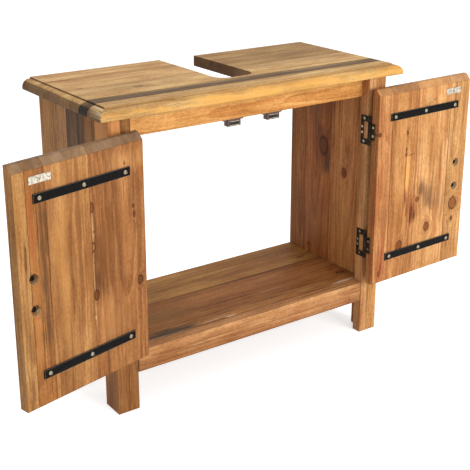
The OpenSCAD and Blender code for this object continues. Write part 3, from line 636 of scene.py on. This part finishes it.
plank(
    "left_door_hinge_board", 2, "brown pine, left door hinge board", "#b07848",
    ring=8.0, pith=(-14, -46), slope=0.03, seed=33, stained=0.5,
    knots=[
        (108, 59, 8, 4, 0.2), (36, 59.5, 9, 5, 0.15), (-53, 55, 10, 6, 0.75), (-56, -47, 9, 7, 0.85),
        (72, -36, 6, 3, 0.75), (87, -35, 4, 3, 0.7),
    ],
    dirty=0.12, end="#857059",
    marks=[
        (20, 42, 78, 30, 0.85, "#6f4220"), (-28, 50, 34, 12, 0.75, "#5f381d"),
        (60, 6, 60, 40, 0.3, "#8c5a2e"), (170, -16, 30, 52, 0.5, "#d29a5e"),
        (-120, 20, 60, 36, 0.35, "#bd8550"), (0, 59, 125, 2.4, 0.5, "#dcb077"),
        (36, 58, 7, 3, 0.9, "#e6c08c"), (52, 54, 3, 1.6, 0.9, "#5a3520"), (20, 55, 3, 1.6, 0.9, "#5a3520"),
        (64, 57, 2.4, 1.4, 0.9, "#4f2f1c"), (-94, 60, 4, 2, 0.8, "#e6c08c"),
        (8, 57, 2.4, 1.4, 0.9, "#4f2f1c"), (-135, 4, 70, 1.6, 0.6, "#855226"),
        (-130, -22, 75, 2, 0.6, "#855226"), (128, -11, 24, 1.6, 0.7, "#4c2e1a"),
        (168, -18, 5, 4, 0.8, "#4c2e1a"), (0, 53, 150, 1.2, 0.6, "#5c3a20"),
    ],
)
plank(
    "right_door_free_board", 2, "honey pine, right door free board", "#daa46a",
    ring=5.5, pith=(12, -40), slope=0.02, seed=34, stained=0.35,
    knots=[(-78, 2, 15, 14, 0.35), (-114, 2, 6, 5, 0.85)],
    dirty=0.12, end="#b98a62",
    marks=[
        (-78, 2, 13, 12, 0.6, "#9a5c34"), (-114, 12, 4, 14, 0.4, "#a06c3e"),
        (60, 26, 85, 1.6, 0.3, "#ecc48d"), (60, 29, 70, 1.2, 0.6, "#9a6636"),
        (-60, -12, 24, 4, 0.35, "#9a6840"),
    ],
)
plank(
    "right_door_second_board", 2, "orange pine, right door second board", "#e4a86e",
    ring=7.0, pith=(-12, -44), slope=0.03, seed=35, stained=0.35,
    knots=[(-115, 4, 12, 9, 0.6), (-45, 38, 6, 6, 0.5)],
    dirty=0.12, end="#c3925f",
    marks=[
        (-42, 8, 44, 36, 0.5, "#8a5e3a"), (-24, 26, 26, 17, 0.8, "#6b462c"),
        (-48, 8, 24, 22, 0.65, "#7c5535"), (-64, -14, 20, 20, 0.6, "#7d5738"),
        (-60, -40, 40, 16, 0.4, "#96683f"), (30, -27, 80, 2.6, 0.75, "#8c5c32"),
        (96, -46, 42, 3, 0.75, "#8c5c32"), (20, -36, 120, 5, 0.35, "#f0ca94"),
        (-62, 46, 34, 10, 0.7, "#8f4c2a"), (-80, 47, 14, 5, 0.9, "#5f3019"), (-136, 3, 26, 2, 0.4, "#9c683a"),
        (-10, 40, 60, 1.4, 0.5, "#9a6636"),
    ],
)
plank(
    "right_door_third_board", 2, "orange pine, right door third board", "#ce925a",
    ring=6.0, pith=(10, -40), slope=0.03, seed=36, stained=0.4,
    knots=[(112, -8, 5, 2.6, 0.9), (75, -6, 4, 2.6, 0.9), (64, -6, 4, 3, 0.9), (-142, 1, 12, 9, 0.5)],
    dirty=0.12, end="#a97f58",
    marks=[
        (18, -14, 58, 8, 0.75, "#e8a95f"), (20, -7, 84, 1.6, 0.85, "#74391e"),
        (61, -24, 2, 16, 0.75, "#7c4526"), (-56, -24, 44, 20, 0.75, "#98552f"),
        (-70, -32, 28, 9, 0.9, "#5f2d18"), (-40, -10, 26, 5, 0.85, "#70371f"),
        (-64, -14, 20, 4, 0.8, "#70371f"), (-90, -28, 16, 3, 0.9, "#55291a"),
        (-135, -24, 46, 1.4, 0.8, "#7a4426"), (-120, 8, 46, 24, 0.25, "#b4703e"),
        # The dark line at 94 mm along, beside the joint with the hinge board, is a painted shadow
        (94, 32, 46, 4, 0.6, "#8f5e34"), (-140, 1, 5, 10, 0.5, "#7d5030"),
    ],
)
plank(
    "right_door_hinge_board", 2, "red-brown pine, right door hinge board", "#d0925e",
    ring=5.0, pith=(-8, -38), slope=0.02, seed=37, stained=0.5,
    knots=[(-194, 1, 6, 3, 0.55), (120, 15, 5, 4, 0.9)],
    dirty=0.12, end="#c0905f",
    marks=[
        (96, -19, 52, 2, 0.6, "#7a4a2c"), (-12, 12, 90, 12, 0.5, "#a55a30"),
        (-158, -2, 56, 16, 0.55, "#a8552f"), (-160, -6, 40, 1.8, 0.95, "#5a2413"),
        (-140, 2, 30, 1.8, 0.9, "#5a2413"), (-186, -2, 18, 1.8, 0.9, "#652a18"),
        (10, 12, 40, 1.2, 0.8, "#6d3219"), (-8, 3, 18, 1.2, 0.8, "#6d3219"),
    ],
)

# The straps: flat mild steel bar, sheared to length, its arrises filed, and painted satin black.
# Three zinc-plated round-headed screws hold each one across the door's boards.


def painted_iron(name, colour, rough):
    """Brush-painted or japanned iron: a satin black film that shows the metal's low waves."""
    material = bpy.data.materials.new(name)
    material.use_nodes = True
    tree = material.node_tree
    shader = tree.nodes["Principled BSDF"]
    shader.inputs["Specular IOR Level"].default_value = 0.05
    place = add(tree, "TexCoord").outputs["Object"]
    # Hammer and roller marks about 6 mm apart
    waves = add(tree, "TexNoise", {"Vector": place, "Scale": 160.0, "Detail": 3.0})
    tone = add(tree, "ValToRGB", {"Fac": waves}, ramp=[(0.35, colour[0]), (0.7, colour[1])])
    # The rounded arrises are painted paler: partly worn paint, partly a painted highlight that stands for
    # glints along the edges
    worn = add(tree, "Attribute", attribute_name="arris").outputs["Fac"]
    worn = add(tree, "Math", {0: worn, 1: 0.6}, operation="MULTIPLY")
    tone = add(tree, "Mix", {"Factor": worn, "A": tone, "B": paint(colour[2])}, data_type="RGBA")
    tree.links.new(tone.outputs[2], shader.inputs["Base Color"])
    gloss = add(
        tree, "MapRange",
        {"Value": waves, "From Min": 0.3, "From Max": 0.7, "To Min": rough, "To Max": rough + 0.15},
    )
    tree.links.new(gloss.outputs[0], shader.inputs["Roughness"])
    bump = add(tree, "Bump", {"Strength": 0.3, "Distance": 0.0004, "Height": waves})
    tree.links.new(bump.outputs[0], shader.inputs["Normal"])
    return material


black_iron = painted_iron("black-painted mild steel", ("#0b0a09", "#151312", "#77716a"), rough=0.34)
for side in ("left", "right"):
    for level in ("upper", "lower"):
        node = f"{side}_door_{level}_strap"
        finish(worn_copy(node, arris=0.5, shortest=5.0), black_iron, node)


def zinc(name, light, dark, rough, blotch=600.0):
    """Zinc-plated steel: dull grey metal with a crystalline mottle, blotch to the metre."""
    material = bpy.data.materials.new(name)
    material.use_nodes = True
    tree = material.node_tree
    shader = tree.nodes["Principled BSDF"]
    shader.inputs["Metallic"].default_value = 1.0
    place = add(tree, "TexCoord").outputs["Object"]
    mottle = add(tree, "TexNoise", {"Vector": place, "Scale": blotch, "Detail": 3.0})
    tone = add(tree, "ValToRGB", {"Fac": mottle}, ramp=[(0.34, dark), (0.6, light)])
    tree.links.new(tone.outputs[0], shader.inputs["Base Color"])
    gloss = add(
        tree, "MapRange",
        {"Value": mottle, "From Min": 0.3, "From Max": 0.7, "To Min": rough, "To Max": rough + 0.15},
    )
    tree.links.new(gloss.outputs[0], shader.inputs["Roughness"])
    return material


SEAM = 1e-6  # metres: points nearer than this close the seam and poles of a turned piece
RIM = 2e-4  # metres: the points of a screw this near to its end are the rim there


def spots(node):
    """Where each screw or pin of a CAD node sits, doors shut: +Z of the matrix points out of its head."""
    cad = frame["nodes"][node]
    bm = bmesh.new()
    bm.from_mesh(cad.data)
    bmesh.ops.remove_doubles(bm, verts=bm.verts, dist=WELD)
    bmesh.ops.transform(bm, matrix=shut[cad["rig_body"]], verts=bm.verts)
    seen, places = set(), []
    for first in bm.verts:
        if first in seen:
            continue
        seen.add(first)
        group, edge_of = [first], [first]
        while edge_of:
            for edge in edge_of.pop().link_edges:
                for vert in edge.verts:
                    if vert not in seen:
                        seen.add(vert)
                        group.append(vert)
                        edge_of.append(vert)
        points = [v.co for v in group]
        low = Vector([min(p[i] for p in points) for i in range(3)])
        high = Vector([max(p[i] for p in points) for i in range(3)])
        along = max(range(3), key=lambda i: high[i] - low[i])
        middle = (low + high) / 2
        wide = []
        for end in (low, high):
            rim = [p for p in points if abs(p[along] - end[along]) < RIM]
            spread = [Vector([p[i] - middle[i] for i in range(3) if i != along]) for p in rim]
            wide.append(max(v.length for v in spread))
        out = Vector((0, 0, 0))
        out[along] = 1 if wide[1] > wide[0] else -1
        middle[along] = high[along] if wide[1] > wide[0] else low[along]
        places.append(Matrix.Translation(middle) @ out.to_track_quat("Z", "Y").to_matrix().to_4x4())
    bm.free()
    return places


def screws(node, material, profile, arm, bar, deep, twist):
    """Screws turned from a profile of (radius, height), with a cross recess in the crown: its reach
    from the middle, half the width of its bars, and its depth, all in millimetres. Each screw
    stands turned by as much as twist draws."""
    whole = bmesh.new()
    for place in spots(node):
        bm = bmesh.new()
        line = [bm.verts.new((r / 1000, 0, z / 1000)) for r, z in profile]
        edges = [bm.edges.new(pair) for pair in zip(line, line[1:])]
        bmesh.ops.spin(
            bm, geom=line + edges, cent=(0, 0, 0), axis=(0, 0, 1), dvec=(0, 0, 0),
            angle=math.tau, steps=20, use_merge=True, use_duplicate=False,
        )
        bmesh.ops.remove_doubles(bm, verts=bm.verts, dist=SEAM)
        crown = [e for e in bm.edges if e.is_boundary]
        top = profile[-1][1] / 1000
        a, b = arm / 1000, bar / 1000
        quarter = [(a, b), (b, b), (b, a)]
        cross = quarter + [(-x, y) for x, y in quarter[::-1]]
        cross += [(-x, -y) for x, y in quarter] + [(x, -y) for x, y in quarter[::-1]]
        corners = [bm.verts.new((x, y, top)) for x, y in cross]
        recess = [bm.edges.new((corners[i - 1], corners[i])) for i in range(12)]
        bmesh.ops.triangle_fill(bm, edges=crown + recess, use_beauty=True)
        sunk = bmesh.ops.extrude_edge_only(bm, edges=recess)["geom"]
        floor = [g for g in sunk if isinstance(g, bmesh.types.BMEdge) and all(v in sunk for v in g.verts)]
        lowered = [g for g in sunk if isinstance(g, bmesh.types.BMVert)]
        bmesh.ops.translate(bm, verts=lowered, vec=(0, 0, -deep / 1000))
        bmesh.ops.edgenet_fill(bm, edges=[e for e in floor if all(v.co.z < top - WELD for v in e.verts)])
        bmesh.ops.recalc_face_normals(bm, faces=bm.faces)
        turn = Matrix.Rotation(twist.uniform(0, math.tau), 4, "Z")
        bmesh.ops.transform(bm, matrix=place @ turn, verts=bm.verts)
        part = bpy.data.meshes.new("screw")
        bm.to_mesh(part)
        bm.free()
        whole.from_mesh(part)
        bpy.data.meshes.remove(part)
    finish(whole, material, node)


bright_zinc = zinc("yellowed zinc plate on steel screws", "#b9ae98", "#6f6552", rough=0.3)
strap_screw = [(0, -19.2), (1.3, -17), (2, -15), (2, -2.2), (4, -2.2), (3.9, -1.5), (3.3, -0.6), (2.5, 0)]
for side, seed in (("left", 5), ("right", 8)):
    screws(
        f"{side}_door_strap_screws", bright_zinc, strap_screw,
        arm=1.9, bar=0.45, deep=1.2, twist=random.Random(seed),
    )

# The pulls: cast iron bows on round roses, japanned black, each held by two bolts through the
# door, whose heads sit in counterbores on the inner face.


def pull(node):
    """A bow swept out from the door and back over two bends, with a turned rose at each foot."""
    cad = frame["nodes"][node]
    corners = [shut[cad["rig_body"]] @ v.co for v in cad.data.vertices]
    low = Vector([min(c[i] for c in corners) for i in range(3)])
    high = Vector([max(c[i] for c in corners) for i in range(3)])
    x, face = (low.x + high.x) / 2, high.y
    rose, grip, bend = 0.008, 0.0045, 0.011
    shoulder, slimmer = 0.9, 0.2
    feet = (low.z + rose, high.z - rose)
    reach = face - low.y - grip
    bm = bmesh.new()
    ring = bmesh.ops.create_circle(bm, segments=20, radius=grip)
    turn = Matrix.Translation((x, face, feet[0])) @ Matrix.Rotation(math.pi / 2, 4, "X")
    bmesh.ops.transform(bm, matrix=turn, verts=ring["verts"])
    last = list(bm.edges)
    corner = Vector((x, face - reach + bend, feet[0] + bend))
    far = Vector((x, face - reach + bend, feet[1] - bend))
    steps = [
        ("move", Vector((0, -(reach - bend), 0)), 4),
        ("turn", corner, 8),
        ("move", Vector((0, 0, far.z - corner.z)), 12),
        ("turn", far, 8),
        ("move", Vector((0, reach - bend, 0)), 4),
    ]
    for kind, value, count in steps:
        if kind == "turn":
            made = bmesh.ops.spin(
                bm, geom=last + list({v for e in last for v in e.verts}), cent=value, axis=(1, 0, 0),
                dvec=(0, 0, 0), angle=-math.pi / 2, steps=count, use_merge=False, use_duplicate=False,
            )["geom_last"]
            last = [g for g in made if isinstance(g, bmesh.types.BMEdge)]
        else:
            for _ in range(count):
                made = bmesh.ops.extrude_edge_only(bm, edges=last)["geom"]
                verts = [g for g in made if isinstance(g, bmesh.types.BMVert)]
                bmesh.ops.translate(bm, verts=verts, vec=value / count)
                rims = [g for g in made if isinstance(g, bmesh.types.BMEdge)]
                last = [e for e in rims if all(v in verts for v in e.verts)]
    # The bow is slimmer at its shoulders and full in the hand
    middle = (feet[0] + feet[1]) / 2
    for vert in bm.verts:
        share = min(1.0, abs(vert.co.z - middle) / (middle - feet[0]))
        if vert.co.y < face - reach + grip and share < shoulder:
            slim = 1.0 - slimmer * (share / shoulder) ** 2
            vert.co.x = x + (vert.co.x - x) * slim
    profile = [(0, 3.0), (4.6, 3.0), (5.6, 2.6), (7.2, 1.9), (7.9, 1.1), (8, 0)]
    for z in feet:
        line = [bm.verts.new((x + r / 1000, face - h / 1000, z)) for r, h in profile]
        edges = [bm.edges.new(pair) for pair in zip(line, line[1:])]
        bmesh.ops.spin(
            bm, geom=line + edges, cent=(x, face, z), axis=(0, 1, 0), dvec=(0, 0, 0),
            angle=math.tau, steps=28, use_merge=True, use_duplicate=False,
        )
    bmesh.ops.remove_doubles(bm, verts=bm.verts, dist=SEAM)
    bmesh.ops.recalc_face_normals(bm, faces=bm.faces)
    bm.faces.layers.float.new("arris")
    return bm


cast_iron = painted_iron("japanned cast iron", ("#121214", "#202022", "#39383a"), rough=0.45)
pull_bolt = [(0, -25.5), (2, -25.5), (2.5, -25), (2.5, -3.5), (5, -3.5), (5, -0.7), (4.6, -0.2), (3.9, 0)]
for side, seed in (("left", 11), ("right", 12)):
    node = f"{side}_door_handle"
    finish(pull(node), cast_iron, node)
    screws(
        f"{side}_door_handle_bolts", cast_iron, pull_bolt,
        arm=2.8, bar=0.7, deep=1.8, twist=random.Random(seed),
    )

# The hinges: pressed steel leaves with rolled knuckles, bronzed to a near-black brown, turning on
# steel pins. The outer leaf is a C, and the door's leaf folds into its cut-out.
bronzed = painted_iron("bronzed pressed steel", ("#17120e", "#42342a", "#9a7a50"), rough=0.35)
for side in ("left", "right"):
    for level in ("upper", "lower"):
        node = f"{level}_{side}_frame_leaf"
        finish(worn_copy(node, arris=0.25, shortest=1.0), bronzed, node)
    node = f"{side}_door_hinge_leaves"
    finish(worn_copy(node, arris=0.25, shortest=1.0), bronzed, node)
hinge_pin = [
    (0, -63.6), (1.6, -63.48), (2.1, -63.1), (2.1, -62.8), (1.25, -62.8),
    (1.25, -0.8), (2.1, -0.8), (2.1, -0.5), (1.6, -0.12), (0, 0),
]
whole = bmesh.new()
for place in spots("hinge_pins"):
    verts = [whole.verts.new(place @ Vector((r / 1000, 0, z / 1000))) for r, z in hinge_pin]
    edges = [whole.edges.new(pair) for pair in zip(verts, verts[1:])]
    bmesh.ops.spin(
        whole, geom=verts + edges, cent=place.translation, axis=place.col[2].to_3d(), dvec=(0, 0, 0),
        angle=math.tau, steps=16, use_merge=True, use_duplicate=False,
    )
bmesh.ops.remove_doubles(whole, verts=whole.verts, dist=SEAM)
bmesh.ops.recalc_face_normals(whole, faces=whole.faces)
whole.faces.layers.float.new("arris")
finish(whole, bronzed, "hinge_pins")
small_screw = [(0, -12), (0.5, -11), (1.3, -8), (1.4, -1.5), (2.9, -0.1), (2.8, 0)]
for node, seed in (
    ("hinge_and_catch_screws", 21), ("left_door_small_screws", 22), ("right_door_small_screws", 23),
):
    screws(node, bright_zinc, small_screw, arm=1.5, bar=0.35, deep=0.9, twist=random.Random(seed))
cleat_screw = [(0, -35), (0.6, -34), (1.9, -29), (2, -2), (4, -0.1), (3.9, 0)]
screws("cleat_screws", bright_zinc, cleat_screw, arm=2.0, bar=0.45, deep=1.4, twist=random.Random(24))

# The catches: brown moulded housings with a magnet between two steel pole plates, screwed up
# under the apron, and a zinc strike plate on the inner face of each door.
plastic = bpy.data.materials.new("brown moulded polypropylene")
plastic.use_nodes = True
tree = plastic.node_tree
shader = tree.nodes["Principled BSDF"]
# Fine spark-eroded texture of the mould, real grain 0.1 mm, drawn at 0.5 mm to show
place = add(tree, "TexCoord").outputs["Object"]
speck = add(tree, "TexNoise", {"Vector": place, "Scale": 2000.0, "Detail": 2.0})
tone = add(tree, "ValToRGB", {"Fac": speck}, ramp=[(0.3, "#43291f"), (0.7, "#57372a")])
tree.links.new(tone.outputs[0], shader.inputs["Base Color"])
shader.inputs["Roughness"].default_value = 0.42
bump = add(tree, "Bump", {"Strength": 0.2, "Distance": 0.0001, "Height": speck})
tree.links.new(bump.outputs[0], shader.inputs["Normal"])
for side in ("left", "right"):
    node = f"{side}_catch_housing"
    finish(worn_copy(node, arris=0.5, shortest=1.2), plastic, node)
ferrite = painted_iron("sintered ferrite", ("#2c2b2c", "#3a393a", "#454446"), rough=0.6)
finish(worn_copy("catch_magnets", arris=0.2), ferrite, "catch_magnets")
finish(worn_copy("catch_pole_plates", arris=0.15, shortest=1.0), bright_zinc, "catch_pole_plates")
plate_zinc = zinc("dull zinc-plated sheet", "#c9c2b4", "#8f8575", rough=0.5, blotch=260.0)
for side in ("left", "right"):
    node = f"{side}_door_strike_plate"
    finish(worn_copy(node, arris=0.25, shortest=1.0), plate_zinc, node)

# The studio: a pale floor 0.3 mm under the feet, a white world, a broad soft lamp in front and to
# the right, a weak one at the left, and one above. Floor and world are lifted for the camera alone,
# so they show white, and the floor keeps a shadow.
bm = bmesh.new()
bmesh.ops.create_grid(bm, x_segments=4, y_segments=4, size=12)
bmesh.ops.translate(bm, verts=bm.verts, vec=(0, 0, -0.0003))
mesh = bpy.data.meshes.new("studio_floor")
bm.to_mesh(mesh)
bm.free()
floor = bpy.data.objects.new("studio_floor", mesh)
bpy.context.scene.collection.objects.link(floor)
FLOOR_LIFT, WORLD_LEVEL = 0.62, 0.56


def looked_at(tree):
    """1 for rays that the camera, a gloss or a glass looks along, 0 for those that light the piece."""
    path = add(tree, "LightPath")
    either = add(
        tree, "Math", {0: path.outputs["Is Camera Ray"], 1: path.outputs["Is Glossy Ray"]},
        operation="MAXIMUM",
    )
    return add(tree, "Math", {0: either, 1: path.outputs["Is Transmission Ray"]}, operation="MAXIMUM")


paper = bpy.data.materials.new("white studio paper")
paper.use_nodes = True
tree = paper.node_tree
shader = tree.nodes["Principled BSDF"]
shader.inputs["Base Color"].default_value = (0.80, 0.80, 0.80, 1)
shader.inputs["Roughness"].default_value = 1.0
shader.inputs["Specular IOR Level"].default_value = 0.0
shader.inputs["Emission Color"].default_value = (1, 1, 1, 1)
seen = looked_at(tree)
lift = add(tree, "Math", {0: seen, 1: FLOOR_LIFT}, operation="MULTIPLY")
tree.links.new(lift.outputs[0], shader.inputs["Emission Strength"])
mesh.materials.append(paper)

world = bpy.data.worlds.new("white studio")
bpy.context.scene.world = world
world.use_nodes = True
tree = world.node_tree
seen = looked_at(tree)
strength = add(tree, "MapRange", {"Value": seen, "To Min": WORLD_LEVEL, "To Max": 1.0})
tree.nodes["Background"].inputs["Color"].default_value = (1, 1, 1, 1)
tree.links.new(strength.outputs[0], tree.nodes["Background"].inputs["Strength"])

for name, place, power, size in (
    ("key lamp", (0.7, -3.0, 1.2), 70, 1.6),
    ("left lamp", (-2.6, -1.2, 1.4), 3, 1.6),
    ("top lamp", (0.2, 0.1, 3.0), 31, 2.0),
):
    data = bpy.data.lights.new(name, "AREA")
    data.energy = power
    data.size = size
    lamp = bpy.data.objects.new(name, data)
    lamp.location = place
    lamp.rotation_euler = (Vector((0, 0, 0.3)) - Vector(place)).to_track_quat("-Z", "Y").to_euler()
    bpy.context.scene.collection.objects.link(lamp)
